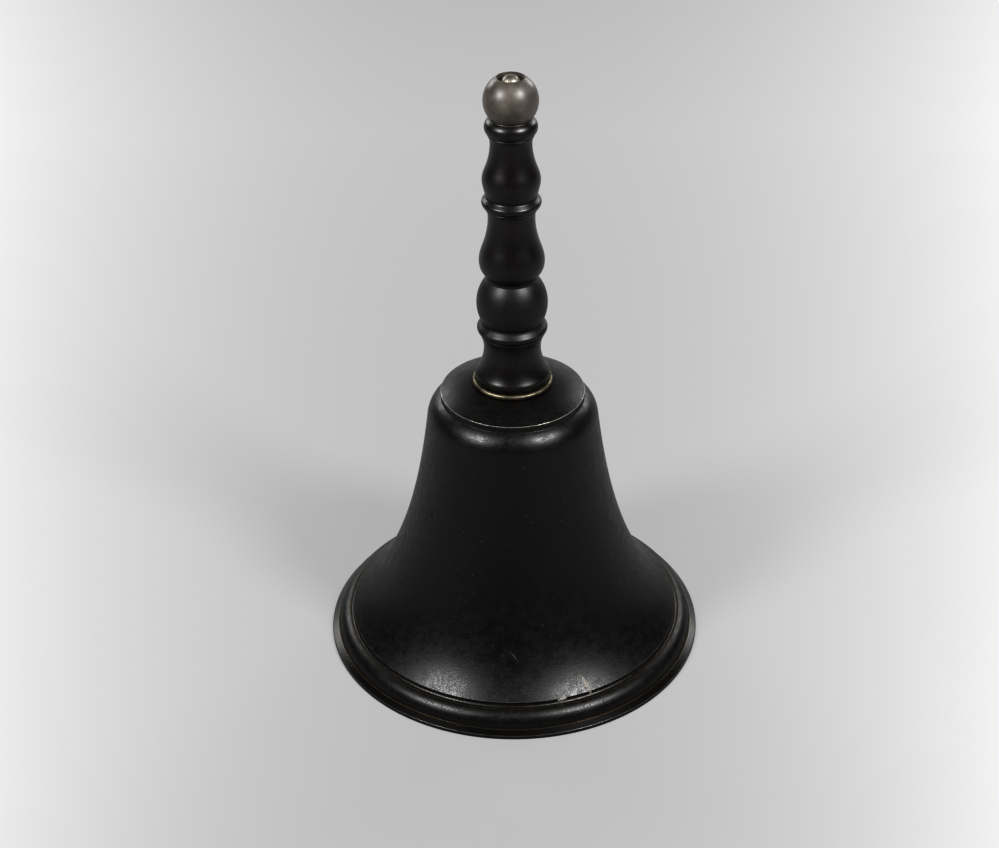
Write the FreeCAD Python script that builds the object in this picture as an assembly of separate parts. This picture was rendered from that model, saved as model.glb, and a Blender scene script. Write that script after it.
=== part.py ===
import FreeCAD, Part
import math
import os

# Hand bell: a cast bell with a turned wooden handle, held together by one tie rod.
# Millimetres. The origin is the centre of the mouth plane and +Z is the bell's axis.
# Outlines are (radius, height) pairs in the half plane y = 0, turned about +Z.

# --- driving dimensions -----------------------------------------------------

mouth_radius = 60.0
lip_thickness = 4.6
arris_radius = 52.8
arris_height = 8.4
shoulder_centre = (18.2, 79.3)
shoulder_radius = 8.2
crown_radius = 22.1
crown_height = 88.6
seat_radius = 12.7
seat_height = 91.6
ceiling_height = 87.0
inner_shoulder_radius = 9.5
inner_waist_radius = 24.1

washer_radius = 12.3
washer_thickness = 1.7

foot_height = seat_height + washer_thickness
ball_radius = 7.94
ball_height = 183.0
dish_radius = 3.95
dish_floor_radius = 3.7
dish_floor_height = 188.25

rod_radius = 2.5
rod_head_radius = 2.6
rod_head_rise = 1.6
rod_bottom_height = 72.2
bore_clearance = 0.1
thread_clearance = 0.05
rove_radius = 3.5
rove_thickness = 0.6

gasket_radius = 9.0
gasket_thickness = 1.2
inner_washer_radius = 8.0
inner_washer_thickness = 1.4
nut_across_flats = 8.0
clamp_nut_thickness = 4.0
lock_nut_thickness = 2.7

eye_boss_radius = 4.2
eye_boss_height = 6.8
eye_ring_radius = 4.2
eye_wire_radius = 1.2
link_end_radius = 3.0
link_straight = 4.0
link_wire_radius = 1.0
shank_ring_radius = 3.2
shank_wire_radius = 1.1
pivot_clearance = 0.05

clapper_ball_radius = 10.0
clapper_ball_height = 15.5
clapper_ball_flat_radius = 3.2
tenon_radius = 2.0
shank_rivet_radius = 2.8
shank_rivet_rise = 1.3

# --- heights that follow from them, from the crown down the tie rod ----------

gasket_bottom = ceiling_height - gasket_thickness
inner_washer_bottom = gasket_bottom - inner_washer_thickness
clamp_nut_bottom = inner_washer_bottom - clamp_nut_thickness
lock_nut_bottom = clamp_nut_bottom - lock_nut_thickness
eye_boss_bottom = lock_nut_bottom - eye_boss_height
eye_ring_height = eye_boss_bottom - eye_ring_radius + 0.3
swing_height = eye_ring_height - eye_ring_radius
link_top = swing_height + eye_wire_radius + link_wire_radius + pivot_clearance
link_upper_centre = link_top - link_end_radius
link_lower_centre = link_upper_centre - link_straight
side_swing_height = link_lower_centre - link_end_radius
shank_top = side_swing_height + link_wire_radius + shank_wire_radius + pivot_clearance
shank_ring_height = shank_top - shank_ring_radius
clapper_flat_rise = math.sqrt(clapper_ball_radius ** 2 - clapper_ball_flat_radius ** 2)
rove_top = dish_floor_height + rove_thickness


# --- drawing and shaping ------------------------------------------------------

def place(radius, height):
    return FreeCAD.Vector(radius, 0, height)


class Outline:
    """A closed outline of lines, arcs and curves, drawn from point to point."""

    def __init__(self, *start):
        self.start = start
        self.here = start
        self.edges = []

    def add(self, curve, end):
        self.edges.append(curve.toShape())
        self.here = end

    def line(self, *end):
        self.add(Part.LineSegment(place(*self.here), place(*end)), end)

    def arc(self, via, end):
        self.add(Part.Arc(place(*self.here), place(*via), place(*end)), end)

    def curve(self, points, leaving, arriving):
        spline = Part.BSplineCurve()
        stations = [place(*point) for point in [self.here] + points]
        spline.interpolate(
            Points=stations, InitialTangent=place(*leaving), FinalTangent=place(*arriving)
        )
        self.add(spline, points[-1])

    def turned(self):
        self.line(*self.start)
        face = Part.Face(Part.Wire(self.edges))
        return face.revolve(FreeCAD.Vector(0, 0, 0), FreeCAD.Vector(0, 0, 1), 360)


def cap_point(foot_radius, rise):
    """A point half way up a spherical cap, as (radius, height above the cap's foot)."""
    sphere = (foot_radius ** 2 + rise ** 2) / (2 * rise)
    half_angle = math.asin(foot_radius / sphere) / 2
    return (sphere * math.sin(half_angle), sphere * math.cos(half_angle) - (sphere - rise))


def on_circle(centre, radius, degrees):
    angle = math.radians(degrees)
    return (centre[0] + radius * math.cos(angle), centre[1] + radius * math.sin(angle))


def ring(radius, wire_radius, height, axis):
    """A torus whose centre is on the bell's axis at the given height."""
    return Part.makeTorus(radius, wire_radius, FreeCAD.Vector(0, 0, height), axis)


def washer(outer_radius, inner_radius, bottom, thickness, edge):
    """A flat ring with its outer edges broken by a small chamfer."""
    top = bottom + thickness
    outline = Outline(inner_radius, bottom)
    outline.line(outer_radius - edge, bottom)
    outline.line(outer_radius, bottom + edge)
    outline.line(outer_radius, top - edge)
    outline.line(outer_radius - edge, top)
    outline.line(inner_radius, top)
    return outline.turned()


def hex_nut(bottom, thickness):
    """A hexagon nut with its corners turned off at both faces."""
    corner_radius = nut_across_flats / math.sqrt(3)
    corners = []
    for step in range(7):
        x, y = on_circle((0, 0), corner_radius, 60 * step)
        corners.append(FreeCAD.Vector(x, y, bottom))
    prism = Part.Face(Part.makePolygon(corners)).extrude(FreeCAD.Vector(0, 0, thickness))
    turned_off = washer(corner_radius, rod_radius + thread_clearance, bottom, thickness, 0.4)
    return prism.common(turned_off)


# --- the pieces ---------------------------------------------------------------

def bell_cup():
    shoulder_start = on_circle(shoulder_centre, shoulder_radius, 7.5)
    shoulder_middle = on_circle(shoulder_centre, shoulder_radius, 35)
    shoulder_end = on_circle(shoulder_centre, shoulder_radius, 62)
    lip_inner = mouth_radius - lip_thickness

    outline = Outline(lip_inner, 0)
    outline.line(mouth_radius - 0.25, 0)
    outline.arc((mouth_radius - 0.07, 0.07), (mouth_radius, 0.25))
    # foot band, a fine turned line, the rim bead and the cove under the arris
    outline.line(mouth_radius - 0.15, 1.15)
    outline.line(57.95, 2.15)
    outline.line(57.65, 2.1)
    outline.line(57.6, 2.5)
    outline.arc((56.5, 5.2), (53.9, 6.75))
    outline.arc((52.95, 6.95), (52.5, 7.7))
    outline.line(arris_radius, arris_height)
    # flare and waist in one sweep up to the shoulder
    flare = [(46.0, 15.6), (38.8, 28.6), (32.4, 47.4), (28.0, 68.6), shoulder_start]
    outline.curve(flare, leaving=(-1.2, 1), arriving=(-0.13, 1))
    outline.arc(shoulder_middle, shoulder_end)
    # small step that lifts the crown disc clear of the shoulder
    outline.line(crown_radius - 0.1, crown_height - 1.7)
    outline.line(crown_radius, crown_height)
    outline.arc((17.5, 90.5), (seat_radius, seat_height))
    outline.line(rod_radius + 0.25, seat_height)
    outline.line(rod_radius + 0.25, ceiling_height)
    # inside: flat ceiling, round shoulder, then a sweep out to the lip
    ceiling_radius = inner_waist_radius - inner_shoulder_radius
    centre = (ceiling_radius, ceiling_height - inner_shoulder_radius)
    outline.line(ceiling_radius, ceiling_height)
    outline.arc(on_circle(centre, inner_shoulder_radius, 45), on_circle(centre, inner_shoulder_radius, 0))
    sweep = [(27.0, 60.0), (30.0, 46.5), (34.3, 32.5), (39.9, 20.0), (46.7, 9.2), (lip_inner - 0.5, 0.5)]
    outline.curve(sweep, leaving=(0.06, -1), arriving=(1, -0.9))
    return outline.turned()


def foot_washer():
    """Brass seating washer with a bull-nosed edge, between the crown and the handle."""
    half = washer_thickness / 2
    outline = Outline(rod_radius + 0.25, seat_height)
    outline.line(washer_radius - half, seat_height)
    outline.arc((washer_radius, seat_height + half), (washer_radius - half, foot_height))
    outline.line(rod_radius + 0.25, foot_height)
    return outline.turned()


def handle():
    """One piece of turned hardwood, bored right through for the tie rod."""
    bore = rod_radius + bore_clearance
    outline = Outline(bore, foot_height)
    # foot and its concave neck
    outline.line(10.7, foot_height)
    outline.arc((11.35, 94.2), (11.2, 95.8))
    outline.curve([(9.35, 99.5), (8.62, 103.4), (9.2, 107.6)], leaving=(-0.75, 1), arriving=(0.35, 1))
    # fillet, third ring with its tight upper edge, long bead
    outline.line(9.55, 108.4)
    outline.line(9.7, 108.9)
    outline.line(9.6, 109.1)
    outline.arc((10.32, 109.88), (10.58, 110.9))
    outline.arc((10.51, 111.24), (10.32, 111.54))
    outline.line(9.4, 112.5)
    outline.line(9.1, 113.1)
    outline.arc((10.63, 119.7), (7.65, 127.2))
    outline.line(7.55, 127.9)
    # lower vase
    outline.curve(
        [(9.0, 130.1), (9.71, 133.6), (8.2, 139.2), (6.92, 146.6), (7.15, 149.2)],
        leaving=(0.5, 1), arriving=(0.25, 1),
    )
    # fillet and second ring
    outline.line(7.55, 149.7)
    outline.line(7.7, 150.1)
    outline.line(7.6, 150.3)
    outline.arc((8.43, 151.04), (8.73, 152.1))
    outline.arc((8.66, 152.44), (8.47, 152.74))
    outline.line(7.6, 153.6)
    outline.line(7.45, 153.9)
    # upper vase
    outline.curve(
        [(8.1, 156.4), (8.52, 159.0), (7.35, 163.2), (6.07, 169.6), (6.3, 171.9)],
        leaving=(0.35, 1), arriving=(0.3, 1),
    )
    # fillet and first ring
    outline.line(6.6, 172.4)
    outline.line(6.75, 172.8)
    outline.line(6.65, 173.0)
    outline.arc((7.67, 175.1), (6.1, 177.6))
    ball_foot = math.sqrt(ball_radius ** 2 - (ball_height - 177.8) ** 2)
    outline.line(ball_foot, 177.8)
    # ball, with a dished recess in its top for the rivet head
    dish_height = ball_height + math.sqrt(ball_radius ** 2 - dish_radius ** 2)
    outline.arc((ball_radius, ball_height), (dish_radius, dish_height))
    outline.line(dish_floor_radius, dish_floor_height)
    outline.line(bore, dish_floor_height)
    return outline.turned()


def tie_rod():
    """Steel rod through the whole bell, peened to a dome over the rove."""
    outline = Outline(0, rod_bottom_height)
    outline.line(rod_radius - 0.5, rod_bottom_height)
    outline.line(rod_radius, rod_bottom_height + 0.5)
    outline.line(rod_radius, rove_top)
    outline.line(rod_head_radius, rove_top)
    radius, rise = cap_point(rod_head_radius, rod_head_rise)
    outline.arc((radius, rove_top + rise), (0, rove_top + rod_head_rise))
    return outline.turned()


def clapper_eye():
    """Eye nut on the end of the tie rod; its ring carries the link."""
    top = lock_nut_bottom
    bore_floor = rod_bottom_height - 0.4
    bore = rod_radius + thread_clearance
    outline = Outline(0, eye_boss_bottom)
    outline.line(2.4, eye_boss_bottom)
    outline.arc((3.6, eye_boss_bottom + 0.8), (eye_boss_radius, eye_boss_bottom + 2.4))
    outline.line(eye_boss_radius, top - 0.5)
    outline.line(eye_boss_radius - 0.5, top)
    outline.line(bore, top)
    outline.line(bore, bore_floor)
    outline.line(0, bore_floor)
    eye = ring(eye_ring_radius, eye_wire_radius, eye_ring_height, FreeCAD.Vector(0, 1, 0))
    return outline.turned().fuse(eye).removeSplitter()


def clapper_link():
    """Closed steel link with round ends and straight sides, in the plane x = 0."""
    side = Part.makeCylinder(
        link_wire_radius, link_straight,
        FreeCAD.Vector(0, link_end_radius, link_lower_centre), FreeCAD.Vector(0, 0, 1),
    )
    other_side = side.mirror(FreeCAD.Vector(0, 0, 0), FreeCAD.Vector(0, 1, 0))
    ends = []
    for height, upward in ((link_upper_centre, 1), (link_lower_centre, -1)):
        torus = ring(link_end_radius, link_wire_radius, height, FreeCAD.Vector(1, 0, 0))
        reach = link_end_radius + link_wire_radius + 1
        keep = Part.makeBox(2 * reach, 2 * reach, reach)
        keep.translate(FreeCAD.Vector(-reach, -reach, height if upward > 0 else height - reach))
        ends.append(torus.common(keep))
    return side.fuse([other_side] + ends).removeSplitter()


def clapper_shank():
    """Forged shank: an eye at the top, a collar and a riveted tenon at the ball."""
    ball_top = clapper_ball_height + clapper_flat_rise
    ball_bottom = clapper_ball_height - clapper_flat_rise
    neck = shank_ring_height - shank_ring_radius
    radius, rise = cap_point(shank_rivet_radius, shank_rivet_rise)
    outline = Outline(0, ball_bottom - shank_rivet_rise)
    outline.arc((radius, ball_bottom - rise), (shank_rivet_radius, ball_bottom))
    outline.line(tenon_radius, ball_bottom)
    outline.line(tenon_radius, ball_top)
    outline.line(3.6, ball_top)
    outline.line(3.6, ball_top + 1.6)
    outline.line(2.6, ball_top + 2.2)
    outline.line(1.6, neck - 1.0)
    outline.line(1.3, neck)
    outline.line(0, neck)
    eye = ring(shank_ring_radius, shank_wire_radius, shank_ring_height, FreeCAD.Vector(0, 1, 0))
    return outline.turned().fuse(eye).removeSplitter()


def clapper_ball():
    """Turned ball with a flat top and bottom, bored for the tenon."""
    bore = tenon_radius + thread_clearance
    low = clapper_ball_height - clapper_flat_rise
    high = clapper_ball_height + clapper_flat_rise
    outline = Outline(bore, low)
    outline.line(clapper_ball_flat_radius, low)
    outline.arc((clapper_ball_radius, clapper_ball_height), (clapper_ball_flat_radius, high))
    outline.line(bore, high)
    return outline.turned()


pieces = {
    "bell_cup": bell_cup(),
    "foot_washer": foot_washer(),
    "handle": handle(),
    "tie_rod": tie_rod(),
    "rivet_rove": washer(rove_radius, rod_radius + thread_clearance, dish_floor_height, rove_thickness, 0.1),
    "crown_gasket": washer(gasket_radius, rod_radius + 0.25, gasket_bottom, gasket_thickness, 0.1),
    "inner_washer": washer(inner_washer_radius, rod_radius + 0.25, inner_washer_bottom,
                           inner_washer_thickness, 0.2),
    "clamp_nut": hex_nut(clamp_nut_bottom, clamp_nut_thickness),
    "lock_nut": hex_nut(lock_nut_bottom, lock_nut_thickness),
    "clapper_eye": clapper_eye(),
    "clapper_link": clapper_link(),
    "clapper_shank": clapper_shank(),
    "clapper_ball": clapper_ball(),
}

os.makedirs("parts", exist_ok=True)
for name, shape in pieces.items():
    if not shape.isValid() or len(shape.Solids) != 1:
        raise ValueError(name + " is not one valid solid")
    shape.exportStep("parts/" + name + ".step")
    box = shape.optimalBoundingBox(True, False)
    print(f"{name:14s} volume {shape.Volume:9.1f}  z {box.ZMin:7.2f} to {box.ZMax:7.2f}")
print("swing axis height", round(swing_height, 3), "side swing axis height", round(side_swing_height, 3))
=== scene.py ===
import math

import bpy
import numpy as np
from mathutils import Matrix, Vector


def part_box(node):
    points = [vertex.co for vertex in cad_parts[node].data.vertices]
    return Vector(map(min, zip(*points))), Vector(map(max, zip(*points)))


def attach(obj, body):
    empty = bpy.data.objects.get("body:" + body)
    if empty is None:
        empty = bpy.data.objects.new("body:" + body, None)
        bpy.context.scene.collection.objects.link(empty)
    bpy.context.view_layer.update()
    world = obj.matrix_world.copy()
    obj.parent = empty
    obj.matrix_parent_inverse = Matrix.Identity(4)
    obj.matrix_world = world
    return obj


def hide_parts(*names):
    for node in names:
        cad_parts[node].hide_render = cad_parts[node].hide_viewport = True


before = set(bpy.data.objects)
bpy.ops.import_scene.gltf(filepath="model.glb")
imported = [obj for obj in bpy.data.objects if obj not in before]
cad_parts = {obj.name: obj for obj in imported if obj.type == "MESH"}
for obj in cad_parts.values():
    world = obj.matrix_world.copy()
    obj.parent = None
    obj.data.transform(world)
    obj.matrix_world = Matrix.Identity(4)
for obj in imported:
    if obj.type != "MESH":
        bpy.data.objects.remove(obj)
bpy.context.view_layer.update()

# the front's direction in degrees round the bell's axis, from +X towards +Y
FRONT = -90
# the sine of the turn from which a corner of an outline counts as sharp
SHARP_TURN = 0.2


# --- bell cup -----------------------------------------------------------------
# One casting in bell metal, turned all over, with a rim bead at the mouth and a raised crown disc.
# The outside was browned almost to black with a sulphide dip and waxed; the inside stayed as turned
# and has dulled by itself, except in two bruised patches.

class Outline:
    """Half of a turned section, as (radius, height) points in millimetres, with the solid on the left."""

    def __init__(self, *start, spacing=0.6):
        self.points = [np.array(start, float)]
        self.corners = []
        self.spacing = spacing

    def draw(self, curve, length, fewest=1):
        steps = max(fewest, math.ceil(length / self.spacing))
        for step in range(1, steps + 1):
            self.points.append(np.array(curve(step / steps), float))
        self.corners.append(len(self.points) - 1)

    def line(self, *end):
        start, end = self.points[-1], np.array(end)
        self.draw(lambda t: start + (end - start) * t, np.hypot(*(end - start)))

    def arc(self, via, end):
        a, b, c = (complex(*point) for point in (self.points[-1], via, end))
        ratio = (c - a) / (b - a)
        centre = (b - a) * (ratio - abs(ratio) ** 2) / (2j * ratio.imag) + a
        turn = np.angle((b - centre) / (a - centre)) + np.angle((c - centre) / (b - centre))

        def spot(t):
            reached = centre + (a - centre) * np.exp(1j * turn * t)
            return reached.real, reached.imag

        self.draw(spot, abs(turn) * abs(a - centre), fewest=8)

    def sweep(self, points, leaving, arriving):
        """One fair curve through the points: a cubic spline that starts and ends in the given directions."""
        knots = np.array([self.points[-1]] + [np.array(point) for point in points])
        chords = np.hypot(*np.diff(knots, axis=0).T)
        reached = np.concatenate([[0], np.cumsum(chords)])
        system = np.eye(len(knots))
        slopes = np.zeros_like(knots)
        slopes[0] = np.array(leaving) / np.hypot(*leaving)
        slopes[-1] = np.array(arriving) / np.hypot(*arriving)
        for i in range(1, len(knots) - 1):
            before, after = chords[i - 1], chords[i]
            system[i, i - 1:i + 2] = after, 2 * (before + after), before
            slopes[i] = 3 * (after * (knots[i] - knots[i - 1]) / before
                             + before * (knots[i + 1] - knots[i]) / after)
        slopes = np.linalg.solve(system, slopes)

        def spot(t):
            along = t * reached[-1]
            i = min(int(np.searchsorted(reached, along, side="right")) - 1, len(chords) - 1)
            chord, u = chords[i], (along - reached[i]) / chords[i]
            return ((1 + 2 * u) * (1 - u) ** 2 * knots[i] + u * (1 - u) ** 2 * chord * slopes[i]
                    + u * u * (3 - 2 * u) * knots[i + 1] - u * u * (1 - u) * chord * slopes[i + 1])

        self.draw(spot, reached[-1])

    def eased(self, ease):
        """The points with each sharp corner rounded over, and how proud each one stands, from 0 to 1."""
        points, proud = [], []
        section = self.points[:-1]
        corners = {i % len(section) for i in self.corners}
        for i, point in enumerate(section):
            before, after = section[i - 1] - point, section[(i + 1) % len(section)] - point
            back, ahead = before / np.hypot(*before), after / np.hypot(*after)
            turn = ahead[0] * back[1] - ahead[1] * back[0]
            if i not in corners or abs(turn) < SHARP_TURN:
                points.append(point)
                proud.append(0.0)
                continue
            hold_back = min(2 * ease, 0.45 * np.hypot(*before))
            hold_ahead = min(2 * ease, 0.45 * np.hypot(*after))
            first, last = point + back * hold_back / 2, point + ahead * hold_ahead / 2
            points.append(point + back * hold_back)
            proud.append(0.0)
            for u in (0, 0.2, 0.4, 0.6, 0.8, 1):
                points.append((1 - u) ** 2 * first + 2 * u * (1 - u) * point + u * u * last)
                proud.append(max(0.0, turn))
            points.append(point + ahead * hold_ahead)
            proud.append(0.0)
        return np.array(points), np.array(proud)


def turned(name, outline, around, ease, marks=()):
    """Turns an outline about the bell's axis, in metres, with marks pressed into or standing on its side.

    A mark is (azimuth from the front, height, half width, half height, depth outwards), in degrees and mm.
    """
    section, proud = outline.eased(ease)
    angles = np.arange(around) * math.tau / around
    radius, height = section[:, :1], section[:, 1:] + 0 * angles
    facing = (outline_facing(section) > 0.1)[:, None]
    for azimuth, level, half_width, half_height, depth in marks:
        off = np.remainder(angles - math.radians(azimuth + FRONT) + math.pi, math.tau) - math.pi
        across = off * section[:, :1] / half_width
        up = (section[:, 1:] - level) / half_height
        radius = radius + depth * np.exp(-across ** 2 - up ** 2) * facing
    corners = np.stack([radius * np.cos(angles), radius * np.sin(angles), height], axis=2)
    corners = corners.reshape(-1, 3) / 1000
    here = np.arange(len(corners)).reshape(len(section), around)
    above = np.roll(here, -1, axis=0)
    loops = [here, np.roll(here, -1, axis=1), np.roll(above, -1, axis=1), above]
    faces = np.stack(loops, axis=2).reshape(-1, 4).tolist()
    mesh = bpy.data.meshes.new(name)
    mesh.from_pydata(corners, [], faces)
    mesh.attributes.new("proud", "FLOAT", "POINT").data.foreach_set("value", np.repeat(proud, around))
    mesh.shade_smooth()
    piece = bpy.data.objects.new(name, mesh)
    bpy.context.scene.collection.objects.link(piece)
    return piece


def outline_facing(section):
    """The share of each point's outward direction that points away from the axis."""
    along = np.roll(section, -1, axis=0) - np.roll(section, 1, axis=0)
    return along[:, 1] / np.maximum(np.hypot(*along.T), 1e-9)


MOUTH_RADIUS = 60.0
LIP_RADIUS = 55.4
SHOULDER_CENTRE = (18.2, 79.3)
SHOULDER_RADIUS = 8.2
CROWN_RADIUS = 22.1
SEAT_HEIGHT = 91.6
CEILING_HEIGHT = 87.0
BORE_RADIUS = 2.75


def on_circle(centre, radius, degrees):
    angle = math.radians(degrees)
    return centre[0] + radius * math.cos(angle), centre[1] + radius * math.sin(angle)


cup_outline = Outline(LIP_RADIUS, 0)
cup_outline.line(MOUTH_RADIUS - 0.25, 0)
cup_outline.arc((MOUTH_RADIUS - 0.07, 0.07), (MOUTH_RADIUS, 0.25))
# foot band, a fine turned line, the rim bead and the cove under the arris
cup_outline.line(MOUTH_RADIUS - 0.15, 1.15)
cup_outline.line(57.95, 2.15)
cup_outline.line(57.65, 2.1)
cup_outline.line(57.6, 2.5)
cup_outline.arc((56.5, 5.2), (53.9, 6.75))
cup_outline.arc((52.95, 6.95), (52.5, 7.7))
cup_outline.line(52.8, 8.4)
# flare and waist in one sweep, the shoulder, and the crown disc
waist_top = on_circle(SHOULDER_CENTRE, SHOULDER_RADIUS, 7.5)
flare = [(46.0, 15.6), (38.8, 28.6), (32.4, 47.4), (28.0, 68.6), waist_top]
cup_outline.sweep(flare, leaving=(-1.2, 1), arriving=(-0.13, 1))
shoulder_top = on_circle(SHOULDER_CENTRE, SHOULDER_RADIUS, 62)
cup_outline.arc(on_circle(SHOULDER_CENTRE, SHOULDER_RADIUS, 35), shoulder_top)
cup_outline.line(CROWN_RADIUS - 0.1, 86.9)
cup_outline.line(CROWN_RADIUS, 88.6)
cup_outline.arc((17.5, 90.5), (12.7, SEAT_HEIGHT))
cup_outline.line(BORE_RADIUS, SEAT_HEIGHT)
cup_outline.line(BORE_RADIUS, CEILING_HEIGHT)
# inside: flat ceiling, round shoulder, then a sweep out to the lip
cup_outline.line(14.6, CEILING_HEIGHT)
cup_outline.arc(on_circle((14.6, 77.5), 9.5, 45), (24.1, 77.5))
inner_sweep = [(27.0, 60.0), (30.0, 46.5), (34.3, 32.5), (39.9, 20.0), (46.7, 9.2), (54.9, 0.5)]
cup_outline.sweep(inner_sweep, leaving=(0.06, -1), arriving=(1, -0.9))
cup_outline.line(LIP_RADIUS, 0)

# a casting pit on the waist and small knocks round the rim
cup_marks = [
    (-54.3, 54.3, 0.5, 0.55, -0.5), (-12.0, 4.2, 1.2, 0.8, -0.12), (58.0, 3.6, 1.5, 0.9, -0.15),
    (141.0, 4.4, 1.8, 0.8, -0.18), (-118.0, 1.0, 2.2, 0.8, -0.12), (-160.0, 34.0, 1.4, 0.9, -0.1),
]
cup = turned("bell_cup_turned", cup_outline, around=480, ease=0.1, marks=cup_marks)
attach(cup, "bell")
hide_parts("bell_cup")


def linear(colour):
    """An sRGB hex colour as a linear one."""
    parts = [int(colour[i:i + 2], 16) / 255 for i in (1, 3, 5)]
    return [part / 12.92 if part <= 0.04045 else ((part + 0.055) / 1.055) ** 2.4 for part in parts] + [1.0]


def start_material(name):
    """A new material with an empty node tree."""
    made = bpy.data.materials.new(name)
    made.use_nodes = True
    made.node_tree.nodes.clear()
    return made


def add(tree, kind, inputs=None, **settings):
    """Adds a node. Each input is a number, a colour or the socket that feeds it."""
    made = tree.nodes.new(kind)
    for name, value in settings.items():
        setattr(made, name, value)
    for name, value in (inputs or {}).items():
        if isinstance(value, bpy.types.NodeSocket):
            tree.links.new(value, made.inputs[name])
        else:
            made.inputs[name].default_value = value
    return made.outputs


def noise(tree, place, width, detail, roughness=0.5):
    """Noise with its largest clouds about that many millimetres wide."""
    return add(tree, "ShaderNodeTexNoise", {
        "Vector": place, "Scale": 1 / width, "Detail": detail, "Roughness": roughness})[0]


def ranged(tree, value, start, end, low=0.0, high=1.0, **settings):
    """The value stretched so that start becomes low and end becomes high, and held level beyond them."""
    return add(tree, "ShaderNodeMapRange", {
        "Value": value, "From Min": start, "From Max": end, "To Min": low, "To Max": high}, **settings)[0]


def blend(tree, share, first, second):
    """The first colour turning into the second as the share rises. Each is a hex colour or a socket."""
    first, second = (linear(end) if isinstance(end, str) else end for end in (first, second))
    return add(tree, "ShaderNodeMix", {0: share, 6: first, 7: second}, data_type="RGBA")[2]


def maths(tree, operation, *values, **settings):
    """One step of arithmetic on numbers or sockets."""
    return add(tree, "ShaderNodeMath", dict(enumerate(values)), operation=operation, **settings)[0]


def millimetres(tree):
    """The place on the piece, as a vector in millimetres."""
    metres = add(tree, "ShaderNodeTexCoord")["Object"]
    return add(tree, "ShaderNodeVectorMath", {0: metres, "Scale": 1000.0}, operation="SCALE")["Vector"]


def axes(tree, place):
    """The X, Y and Z of a place, by name."""
    return add(tree, "ShaderNodeSeparateXYZ", {0: place})


def off_axis(tree, place):
    """How far a place is from the bell's axis."""
    level = add(tree, "ShaderNodeVectorMath", {0: place, 1: (1.0, 1.0, 0.0)}, operation="MULTIPLY")[0]
    return add(tree, "ShaderNodeVectorMath", {0: level}, operation="LENGTH")["Value"]


def in_rings(tree, place):
    """A place as (radius, height, 0) about the bell's axis, so that what is drawn on it runs in rings."""
    return add(tree, "ShaderNodeCombineXYZ", {"X": off_axis(tree, place), "Y": axes(tree, place)["Z"]})[0]


def waxed_browned_bell_metal():
    """Bell metal browned with sulphide and waxed: a black-brown skin with a satin gloss over fine turning
    marks, small casting pits that break up the highlights, and dull metal showing on the rubbed arrises."""
    made = start_material("waxed_browned_bell_metal")
    tree = made.node_tree
    place = millimetres(tree)
    parts = axes(tree, place)
    # cloudy brown where the dip took unevenly, in patches 15 to 20 mm across
    cloud = noise(tree, place, 17, 5.0, 0.6)
    patch = ranged(tree, cloud, 0.35, 0.7)
    skin = blend(tree, patch, "#070606", "#100d0b")
    # stray specks of pale dust in the wax, up to 0.5 mm wide and one to every two square centimetres
    speck = add(tree, "ShaderNodeTexVoronoi", {"Vector": place, "Scale": 1 / 2.4}, feature="F1")
    chosen = maths(tree, "GREATER_THAN", speck["Color"], 0.72)
    near = ranged(tree, speck["Distance"], 0.12, 0.02, high=0.45)
    dust = maths(tree, "MULTIPLY", near, chosen)
    dusty = blend(tree, dust, skin, "#6a655c")
    # the skin has gone from the arrises in a broken line, down to dull grey-yellow metal
    proud = add(tree, "ShaderNodeAttribute", attribute_name="proud")["Fac"]
    break_up = noise(tree, place, 4, 4.0)
    rubbing = maths(tree, "MULTIPLY", proud, break_up)
    # hands reach the crown's arris most, and the rim's least
    reached = ranged(tree, parts["Z"], 10.0, 86.0, 0.18, 0.9)
    line = ranged(tree, rubbing, 0.15, 0.5)
    bare = maths(tree, "MULTIPLY", line, reached)
    colour = blend(tree, bare, dusty, "#a09f99")
    # gloss: satin wax in smears 3 mm wide, broken up by grains about 0.4 mm wide, and polished at the foot
    smear = noise(tree, place, 3, 6.0, 0.7)
    grains = noise(tree, place, 0.4, 2.0)
    mixed = maths(tree, "MULTIPLY", smear, grains)
    satin = ranged(tree, mixed, 0.14, 0.38, 0.32, 0.52)
    polished = ranged(tree, parts["Z"], 2.6, 2.2)
    gloss = add(tree, "ShaderNodeMix", {0: polished, 2: satin, 3: 0.26})[0]
    # relief: turning marks about 0.5 mm apart round the bell, and pits as fine as the grains
    marks = noise(tree, in_rings(tree, place), 0.5, 2.0)
    turning = add(tree, "ShaderNodeBump", {"Height": marks, "Distance": 0.00001})[0]
    pitted = ranged(tree, parts["Z"], 2.2, 2.6, 0.15)
    relief = add(tree, "ShaderNodeBump", {
        "Height": grains, "Distance": 0.000025, "Strength": pitted, "Normal": turning})[0]
    shader = add(tree, "ShaderNodeBsdfPrincipled", {
        "Base Color": colour, "Metallic": bare, "Roughness": gloss, "IOR": 1.5, "Normal": relief})[0]
    add(tree, "ShaderNodeOutputMaterial", {"Surface": shader})
    return made


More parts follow.
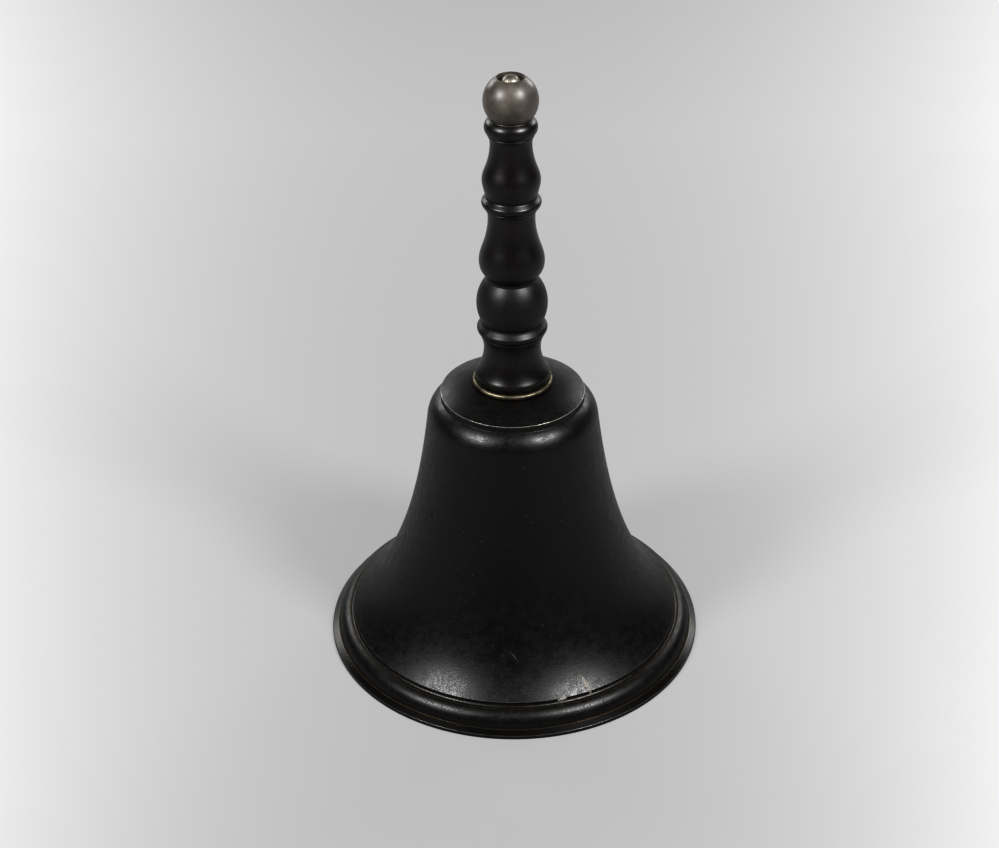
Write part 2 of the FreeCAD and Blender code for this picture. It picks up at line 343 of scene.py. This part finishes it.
def turned_bell_metal():
    """The inside of the casting, turned and left bare: yellow-brown metal dulled by air, with the tool's
    rings in it, darker towards the crown, and a bruised bright patch on both sides of the clapper's swing."""
    made = start_material("dulled_turned_bell_metal")
    tree = made.node_tree
    place = millimetres(tree)
    parts = axes(tree, place)
    cloud = noise(tree, place, 9, 6.0, 0.65)
    dull = blend(tree, cloud, "#4f402a", "#95794c")
    # the inside turns darker the higher it is, towards the crown
    depth = ranged(tree, parts["Z"], 5.0, 80.0, high=0.7)
    darker_towards_crown = blend(tree, depth, dull, "#33291c")
    # the patches are 10 mm wide and 17 mm up the wall
    mirrored = add(tree, "ShaderNodeVectorMath", {0: place}, operation="ABSOLUTE")[0]
    bruise_middle = (0.0, 41.5, 17.0)
    away = add(tree, "ShaderNodeVectorMath", {0: mirrored, 1: bruise_middle}, operation="DISTANCE")["Value"]
    ragged = maths(tree, "MULTIPLY_ADD", cloud, 5.0, away)
    struck = ranged(tree, ragged, 9.5, 4.5, high=0.6)
    colour = blend(tree, struck, darker_towards_crown, "#b89a62")
    gloss = ranged(tree, struck, 0.0, 1.0, 0.5, 0.28)
    rings = noise(tree, in_rings(tree, place), 0.714, 3.0)
    relief = add(tree, "ShaderNodeBump", {"Height": rings, "Distance": 0.00004})[0]
    shader = add(tree, "ShaderNodeBsdfPrincipled", {
        "Base Color": colour, "Metallic": 0.85, "Roughness": gloss, "Normal": relief})[0]
    add(tree, "ShaderNodeOutputMaterial", {"Surface": shader})
    return made


cup.data.materials.append(waxed_browned_bell_metal())
cup.data.materials.append(turned_bell_metal())
# faces that look towards the axis, or straight down, are the turned inside
for face in cup.data.polygons:
    outward = Vector((face.center.x, face.center.y, 0)).normalized()
    if face.normal.dot(outward) < -0.02 or face.normal.z < -0.9:
        face.material_index = 1


# the stretches of the cup's outline, counted from the mouth, that the flare runs between
BEAD_TOP, SHOULDER_FOOT = 6, 9


def streak(name, route, finish, sides=10, steps=28):
    """A raised streak on the cup through stations of (azimuth from the front, height, half width) in mm."""
    azimuths, heights, widths = np.array(route, float).T
    stations = np.linspace(0, len(route) - 1, steps)
    skin = np.array(cup_outline.points[cup_outline.corners[BEAD_TOP]:cup_outline.corners[SHOULDER_FOOT] + 1])
    points = []
    for station in stations:
        level = np.interp(station, range(len(route)), heights)
        bearing = math.radians(np.interp(station, range(len(route)), azimuths) + FRONT)
        half_width = np.interp(station, range(len(route)), widths)
        # its section is an oval 0.45 times as deep as wide, half sunk, and narrows to a third at both ends
        half_width *= math.sin(math.pi * (0.02 + 0.96 * station / (len(route) - 1))) ** 0.4
        radius = np.interp(level, skin[:, 1], skin[:, 0])
        outward = np.array([math.cos(bearing), math.sin(bearing), 0])
        sideways = np.array([-math.sin(bearing), math.cos(bearing), 0])
        centre = outward * radius + np.array([0, 0, level])
        for side in range(sides):
            turn = math.tau * side / sides
            points.append(centre + half_width * (math.cos(turn) * sideways + 0.45 * math.sin(turn) * outward))
    loops = [[step * sides + side for side in range(sides)] for step in range(steps)]
    faces = [[low[side], low[side - 1], high[side - 1], high[side]]
             for low, high in zip(loops, loops[1:]) for side in range(sides)]
    mesh = bpy.data.meshes.new(name)
    mesh.from_pydata(np.array(points) / 1000, [], faces + [loops[0], loops[-1][::-1]])
    mesh.shade_smooth()
    mesh.materials.append(finish)
    piece = bpy.data.objects.new(name, mesh)
    bpy.context.scene.collection.objects.link(piece)
    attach(piece, "bell")


def hard_wax():
    """Polishing wax that ran and set: grey-cream, waxy and half clear, dirty in its hollows."""
    made = start_material("hardened_polishing_wax")
    tree = made.node_tree
    place = millimetres(tree)
    dirt = noise(tree, place, 0.8, 3.0)
    colour = blend(tree, dirt, "#4a4844", "#a19e98")
    gloss = ranged(tree, dirt, 0.0, 1.0, 0.35, 0.6)
    relief = add(tree, "ShaderNodeBump", {"Height": dirt, "Distance": 0.0004})[0]
    shader = add(tree, "ShaderNodeBsdfPrincipled", {
        "Base Color": colour, "Roughness": gloss, "IOR": 1.44, "Normal": relief})[0]
    add(tree, "ShaderNodeOutputMaterial", {"Surface": shader})
    return made


# a run of polishing wax that set over the arris, and a hair scratch higher up the flare
wax = hard_wax()
run_route = [(25.0, 11.7, 0.7), (25.4, 10.6, 0.9), (25.8, 9.4, 0.8), (26.1, 8.3, 0.7), (26.4, 6.9, 0.8)]
smear_route = [(16.7, 8.9, 0.8), (16.3, 8.2, 1.4), (15.9, 7.6, 1.5), (15.6, 6.9, 1.1)]
scratch_route = [(-1.9, 20.4, 0.04), (-0.2, 19.2, 0.06), (1.5, 17.7, 0.04)]
streak("wax_run", run_route, wax)
streak("wax_smear", smear_route, wax)
streak("hair_scratch", scratch_route, wax)


# --- foot washer and rivet rove -------------------------------------------------
# Two small washers turned from brass rod. The larger seats the handle's foot on the crown, and the
# smaller sits in the dish on top of the handle under the rivet. Both have tarnished with handling.

def tarnished_brass():
    """Cut brass gone dull: grey-brown yellow with darker tarnish in clouds, and fine turning rings."""
    made = start_material("tarnished_turned_brass")
    tree = made.node_tree
    place = millimetres(tree)
    cloud = noise(tree, place, 3, 5.0)
    tarnish = ranged(tree, cloud, 0.3, 0.65)
    colour = blend(tree, tarnish, "#45423a", "#857f6e")
    gloss = ranged(tree, cloud, 0.0, 1.0, 0.56, 0.38)
    rings = noise(tree, in_rings(tree, place), 0.25, 2.0)
    relief = add(tree, "ShaderNodeBump", {"Height": rings, "Distance": 0.00001})[0]
    shader = add(tree, "ShaderNodeBsdfPrincipled", {
        "Base Color": colour, "Metallic": 1.0, "Roughness": gloss, "Normal": relief})[0]
    add(tree, "ShaderNodeOutputMaterial", {"Surface": shader})
    return made


def coat(nodes, finish):
    """Gives CAD pieces one finish in place of the plain one they came with."""
    for node in nodes:
        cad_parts[node].data.materials.clear()
        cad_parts[node].data.materials.append(finish)


coat(["foot_washer", "rivet_rove"], tarnished_brass())


# --- handle ---------------------------------------------------------------------
# One length of close-grained hardwood, turned between centres and bored through for the tie rod.
# It was stained black and shellacked on the lathe, and years of palms have left a soft shine.

FOOT_HEIGHT = 93.3
HANDLE_BORE = 2.6
BALL_RADIUS = 7.94
BALL_HEIGHT = 183.0
BALL_FOOT_HEIGHT = 177.8
DISH_RADIUS = 3.95
DISH_FLOOR_HEIGHT = 188.25

handle_outline = Outline(HANDLE_BORE, FOOT_HEIGHT, spacing=0.35)
# foot and its concave neck
handle_outline.line(10.7, FOOT_HEIGHT)
handle_outline.arc((11.35, 94.2), (11.2, 95.8))
handle_outline.sweep([(9.35, 99.5), (8.62, 103.4), (9.2, 107.6)], leaving=(-0.75, 1), arriving=(0.35, 1))
# fillet, third ring with its tight upper edge, long bead
handle_outline.line(9.55, 108.4)
handle_outline.line(9.7, 108.9)
handle_outline.line(9.6, 109.1)
handle_outline.arc((10.32, 109.88), (10.58, 110.9))
handle_outline.arc((10.51, 111.24), (10.32, 111.54))
handle_outline.line(9.4, 112.5)
handle_outline.line(9.1, 113.1)
handle_outline.arc((10.63, 119.7), (7.65, 127.2))
handle_outline.line(7.55, 127.9)
# lower vase
lower_vase = [(9.0, 130.1), (9.71, 133.6), (8.2, 139.2), (6.92, 146.6), (7.15, 149.2)]
handle_outline.sweep(lower_vase, leaving=(0.5, 1), arriving=(0.25, 1))
# fillet and second ring
handle_outline.line(7.55, 149.7)
handle_outline.line(7.7, 150.1)
handle_outline.line(7.6, 150.3)
handle_outline.arc((8.43, 151.04), (8.73, 152.1))
handle_outline.arc((8.66, 152.44), (8.47, 152.74))
handle_outline.line(7.6, 153.6)
handle_outline.line(7.45, 153.9)
# upper vase
upper_vase = [(8.1, 156.4), (8.52, 159.0), (7.35, 163.2), (6.07, 169.6), (6.3, 171.9)]
handle_outline.sweep(upper_vase, leaving=(0.35, 1), arriving=(0.3, 1))
# fillet and first ring
handle_outline.line(6.6, 172.4)
handle_outline.line(6.75, 172.8)
handle_outline.line(6.65, 173.0)
handle_outline.arc((7.67, 175.1), (6.1, 177.6))
# ball, with a dish in its top for the rivet head
handle_outline.line(math.sqrt(BALL_RADIUS ** 2 - (BALL_HEIGHT - BALL_FOOT_HEIGHT) ** 2), BALL_FOOT_HEIGHT)
dish_height = BALL_HEIGHT + math.sqrt(BALL_RADIUS ** 2 - DISH_RADIUS ** 2)
handle_outline.arc((BALL_RADIUS, BALL_HEIGHT), (DISH_RADIUS, dish_height))
handle_outline.line(3.7, DISH_FLOOR_HEIGHT)
handle_outline.line(HANDLE_BORE, DISH_FLOOR_HEIGHT)
handle_outline.line(HANDLE_BORE, FOOT_HEIGHT)

# small dents from knocks: (azimuth, height, half width, half height, depth)
handle_marks = [
    (35.0, 119.0, 0.8, 0.6, -0.12), (-150.0, 134.0, 1.0, 0.7, -0.12), (110.0, 158.5, 0.7, 0.6, -0.1),
    (-40.0, 111.8, 0.9, 0.4, -0.1), (160.0, 184.0, 0.8, 0.7, -0.1), (-95.0, 152.8, 0.9, 0.4, -0.12),
]
grip = turned("handle_turned", handle_outline, around=192, ease=0.12, marks=handle_marks)
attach(grip, "bell")
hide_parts("handle")


def ebonised_hardwood():
    """Black-stained shellacked hardwood: soft sharp-edged gloss, faint brown showing where it is rubbed,
    and fine pores drawn out along the grain, with the lathe's rings across them."""
    made = start_material("shellacked_ebonised_hardwood")
    tree = made.node_tree
    place = millimetres(tree)
    parts = axes(tree, place)
    # grain runs up the handle, its lines 1 mm apart and 25 times as long as they are wide
    grain_place = add(tree, "ShaderNodeVectorMath", {0: place, 1: (1.0, 1.0, 0.04)}, operation="MULTIPLY")[0]
    grain = noise(tree, grain_place, 1, 4.0, 0.6)
    figure = ranged(tree, grain, 0.35, 0.7)
    stained = blend(tree, figure, "#080606", "#140e0b")
    # the stain has rubbed thin on the proudest edges, and all over the ball, where the palm closes on it, and
    # the ball's grey is partly a painted sheen
    proud = add(tree, "ShaderNodeAttribute", attribute_name="proud")["Fac"]
    worn = maths(tree, "MULTIPLY", proud, figure)
    edged = blend(tree, worn, stained, "#3b2a20")
    handled = noise(tree, place, 5, 4.0)
    on_the_ball = ranged(tree, parts["Z"], 177.4, 178.6)
    worn_and_painted_sheen = maths(tree, "MULTIPLY", on_the_ball, handled)
    # the ball turns lighter grey: stain worn thin there, and a painted sheen
    colour = blend(tree, worn_and_painted_sheen, edged, "#67615b")
    # the hand has dulled the long bead 119.5 mm up most, and the ball a little
    satin = ranged(tree, handled, 0.3, 0.7, 0.33, 0.42)
    from_bead = maths(tree, "SUBTRACT", parts["Z"], 119.5)
    off_bead = maths(tree, "ABSOLUTE", from_bead)
    dulled = ranged(tree, off_bead, 12.0, 7.0, 0.0, 0.1)
    rubbed = maths(tree, "MULTIPLY_ADD", on_the_ball, 0.04, dulled)
    gloss = maths(tree, "ADD", satin, rubbed)
    # pores 0.15 mm wide are drawn 0.3 mm wide, so that they show
    pore_place = add(tree, "ShaderNodeVectorMath", {0: place, 1: (1.0, 1.0, 0.1)}, operation="MULTIPLY")[0]
    pores = noise(tree, pore_place, 0.3, 2.0)
    rings = noise(tree, in_rings(tree, place), 0.4, 2.0)
    turning = add(tree, "ShaderNodeBump", {"Height": rings, "Distance": 0.00001})[0]
    relief = add(tree, "ShaderNodeBump", {"Height": pores, "Distance": 0.00001, "Normal": turning})[0]
    shader = add(tree, "ShaderNodeBsdfPrincipled", {
        "Base Color": colour, "Roughness": gloss, "IOR": 1.52, "Normal": relief})[0]
    add(tree, "ShaderNodeOutputMaterial", {"Surface": shader})
    return made


grip.data.materials.append(ebonised_hardwood())


# --- tie rod, nuts, eye, link and shank -------------------------------------------
# Mild steel fittings: the rod through the whole bell, peened over its rove at the top, with two nuts
# and an eye nut below the crown, and a closed link that carries the clapper's forged shank.

def dull_steel():
    """Old mild steel, never painted: grey and half shiny on the high spots, brown-grey in clouds of
    fine rust between them."""
    made = start_material("dulled_mild_steel")
    tree = made.node_tree
    place = millimetres(tree)
    cloud = noise(tree, place, 2.5, 6.0, 0.65)
    rust = ranged(tree, cloud, 0.54, 0.7)
    colour = blend(tree, rust, "#8f8b85", "#4a3a2f")
    bright = ranged(tree, rust, 0.0, 1.0, 1.0, 0.3)
    gloss = ranged(tree, rust, 0.0, 1.0, 0.52, 0.7)
    grit = noise(tree, place, 0.25, 3.0)
    relief = add(tree, "ShaderNodeBump", {"Height": grit, "Distance": 0.00003})[0]
    shader = add(tree, "ShaderNodeBsdfPrincipled", {
        "Base Color": colour, "Metallic": bright, "Roughness": gloss, "Normal": relief})[0]
    add(tree, "ShaderNodeOutputMaterial", {"Surface": shader})
    return made


held_in_the_bell = ["tie_rod", "inner_washer", "clamp_nut", "lock_nut", "clapper_eye"]
coat(held_in_the_bell + ["clapper_link", "clapper_shank"], dull_steel())


# --- crown gasket -------------------------------------------------------------------
# A washer cut from vegetable-tanned leather, squeezed between the ceiling and the steel washer so that
# the fittings don't buzz when the bell rings.

def old_leather():
    """Vegetable-tanned leather gone dark and dry: brown, matt, with a fine pebble grain."""
    made = start_material("dry_vegetable_tanned_leather")
    tree = made.node_tree
    place = millimetres(tree)
    pebble = add(tree, "ShaderNodeTexVoronoi", {"Vector": place, "Scale": 1 / 0.5}, feature="F1")["Distance"]
    cloud = noise(tree, place, 4, 4.0)
    colour = blend(tree, cloud, "#2b1a10", "#5a3a22")
    gloss = ranged(tree, cloud, 0.0, 1.0, 0.65, 0.85)
    relief = add(tree, "ShaderNodeBump", {"Height": pebble, "Distance": 0.0001})[0]
    shader = add(tree, "ShaderNodeBsdfPrincipled", {
        "Base Color": colour, "Roughness": gloss, "IOR": 1.5, "Normal": relief})[0]
    add(tree, "ShaderNodeOutputMaterial", {"Surface": shader})
    return made


coat(["crown_gasket"], old_leather())


# --- clapper ball -------------------------------------------------------------------
# A ball cast in grey iron and roughly turned, riveted to the shank's tenon. Its two striking sides
# have been hammered flat and bright by the bell.

def struck_cast_iron():
    """Grey cast iron: dark, granular and half matt, with a brighter bruised band where it strikes."""
    made = start_material("struck_grey_cast_iron")
    tree = made.node_tree
    place = millimetres(tree)
    grain = noise(tree, place, 0.6, 4.0)
    cloud = noise(tree, place, 5, 5.0)
    iron = blend(tree, cloud, "#2c2826", "#5f574f")
    mirrored = add(tree, "ShaderNodeVectorMath", {0: place}, operation="ABSOLUTE")[0]
    struck_side = (0.0, 10.0, 15.5)
    away = add(tree, "ShaderNodeVectorMath", {0: mirrored, 1: struck_side}, operation="DISTANCE")["Value"]
    ragged = maths(tree, "MULTIPLY_ADD", cloud, 3.0, away)
    struck = ranged(tree, ragged, 6.0, 4.0)
    colour = blend(tree, struck, iron, "#8b867e")
    gloss = ranged(tree, struck, 0.0, 1.0, 0.55, 0.3)
    relief = add(tree, "ShaderNodeBump", {"Height": grain, "Distance": 0.00006})[0]
    shader = add(tree, "ShaderNodeBsdfPrincipled", {
        "Base Color": colour, "Metallic": 0.9, "Roughness": gloss, "Normal": relief})[0]
    add(tree, "ShaderNodeOutputMaterial", {"Surface": shader})
    return made


coat(["clapper_ball"], struck_cast_iron())


# --- table, lamps and camera -----------------------------------------------------------
# The bell stands on a pale evenly lit table, between two small diffused lamps at head height.
# The room in front of it and above it is dark.

TABLE_RADIUS = 3.0
TABLE_LEVEL = -0.00005


def lit_opal_table():
    """A pale opal sheet lit from below, with painted light making it brighter towards both sides, which takes
    a faint shadow.
    """
    made = start_material("pale_opal_sheet")
    tree = made.node_tree
    place = millimetres(tree)
    parts = axes(tree, place)
    # painted light: the sheet glows brighter towards both sides, standing in for lamplight falling from the
    # sides
    aside = maths(tree, "ADD", parts["X"], 10.0)
    sideways = maths(tree, "ABSOLUTE", aside)
    spread = ranged(tree, parts["Y"], -400.0, 600.0, 80.0, 320.0)
    share = maths(tree, "DIVIDE", sideways, spread, use_clamp=True)
    painted_side_light = maths(tree, "POWER", share, 2.3)
    back = ranged(tree, parts["Y"], -100.0, 400.0, 0.41, 0.545)
    nearby = maths(tree, "MULTIPLY_ADD", painted_side_light, 0.27, back)
    # far off it is as bright as the wall, so that no edge shows
    away = add(tree, "ShaderNodeVectorMath", {0: place, 1: (0.0, 250.0, 0.0)}, operation="DISTANCE")["Value"]
    distant = ranged(tree, away, 460.0, 1000.0, interpolation_type="SMOOTHSTEP")
    even = add(tree, "ShaderNodeMix", {0: distant, 2: nearby, 3: 0.8})[0]
    # a painted pool of light: the sheet glows brighter under the bell, which lights the inside of the bell,
    # and the pool stays within the mouth
    painted_light_pool = ranged(tree, off_axis(tree, place), 50.0, 38.0, high=1.5)
    strength = maths(tree, "ADD", even, painted_light_pool)
    glow = add(tree, "ShaderNodeEmission", {"Color": linear("#ffffff"), "Strength": strength})[0]
    matt = add(tree, "ShaderNodeBsdfDiffuse", {"Color": linear("#5d5d5d")})[0]
    sheet = add(tree, "ShaderNodeAddShader", {0: glow, 1: matt})[0]
    # it is seen from above only, so that the mouth of the bell can be looked into from below
    underneath = add(tree, "ShaderNodeNewGeometry")["Backfacing"]
    clear = add(tree, "ShaderNodeBsdfTransparent")[0]
    one_sided = add(tree, "ShaderNodeMixShader", {0: underneath, 1: sheet, 2: clear})[0]
    add(tree, "ShaderNodeOutputMaterial", {"Surface": one_sided})
    return made


table_mesh = bpy.data.meshes.new("table")
turns = np.arange(96) * math.tau / 96
edge = [(TABLE_RADIUS * math.cos(turn), TABLE_RADIUS * math.sin(turn), TABLE_LEVEL) for turn in turns]
table_mesh.from_pydata(edge, [], [range(len(edge))])
table = bpy.data.objects.new("table", table_mesh)
bpy.context.scene.collection.objects.link(table)
table_mesh.materials.append(lit_opal_table())

room = bpy.data.worlds.new("dark_room_with_pale_wall_behind")
room.use_nodes = True
room_tree = room.node_tree
room_tree.nodes.clear()
towards_sky = add(room_tree, "ShaderNodeSeparateXYZ", {0: add(room_tree, "ShaderNodeTexCoord")["Generated"]})
behind = ranged(room_tree, towards_sky["Y"], 0.7, 0.93)
low_down = ranged(room_tree, towards_sky["Z"], 0.6, 0.3)
wall = maths(room_tree, "MULTIPLY", behind, low_down)
dim = maths(room_tree, "MULTIPLY_ADD", wall, 1.5, 0.01)
seen = add(room_tree, "ShaderNodeLightPath")["Is Camera Ray"]
level = maths(room_tree, "MAXIMUM", dim, maths(room_tree, "MULTIPLY", seen, 0.8))
add(room_tree, "ShaderNodeOutputWorld", {"Surface": add(
    room_tree, "ShaderNodeBackground", {"Color": linear("#ffffff"), "Strength": level})[0]})
bpy.context.scene.world = room

handle_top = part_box("handle")[1].z
knob = Vector((0, 0, handle_top - BALL_RADIUS / 1000))


def lamp(name, azimuth, elevation, distance, radius, power):
    """A round diffused lamp. Its azimuth is from the front towards the right, both angles from the knob."""
    a, e = math.radians(azimuth), math.radians(elevation)
    towards = Vector((math.sin(a) * math.cos(e), -math.cos(a) * math.cos(e), math.sin(e)))
    data = bpy.data.lights.new(name, "AREA")
    data.shape = "DISK"
    data.size = 2 * radius
    data.energy = power
    made = bpy.data.objects.new(name, data)
    bpy.context.scene.collection.objects.link(made)
    made.location = knob + towards * distance
    made.visible_camera = False
    made.rotation_euler = towards.to_track_quat("Z", "Y").to_euler()


lamp("left_lamp", -54.5, 33.3, distance=0.55, radius=0.085, power=5.3)
lamp("right_lamp", 49.9, 38.3, distance=0.55, radius=0.085, power=6.2)
# two larger lamps low down behind, so that the far side is not lost
lamp("back_left_lamp", -140, 18, distance=0.8, radius=0.15, power=2.4)
lamp("back_right_lamp", 140, 18, distance=0.8, radius=0.15, power=2.4)

camera_data = bpy.data.cameras.new("camera")
camera_data.lens = 66.77
camera_data.sensor_width = 36.0
camera = bpy.data.objects.new("camera", camera_data)
bpy.context.scene.collection.objects.link(camera)
CAMERA_PLACE = (0, -0.48558, 0.38358)
LOOK_DOWN, LOOK_LEFT, TILT = 32.357, 0.491, -0.648
facing = (Matrix.Rotation(math.radians(LOOK_LEFT), 4, "Z")
          @ Matrix.Rotation(math.radians(90 - LOOK_DOWN), 4, "X")
          @ Matrix.Rotation(math.radians(TILT), 4, "Z"))
camera.matrix_world = Matrix.Translation(CAMERA_PLACE) @ facing
bpy.context.scene.camera = camera
bpy.context.scene.view_settings.view_transform = "Standard"
bpy.context.scene.view_settings.gamma = 0.62
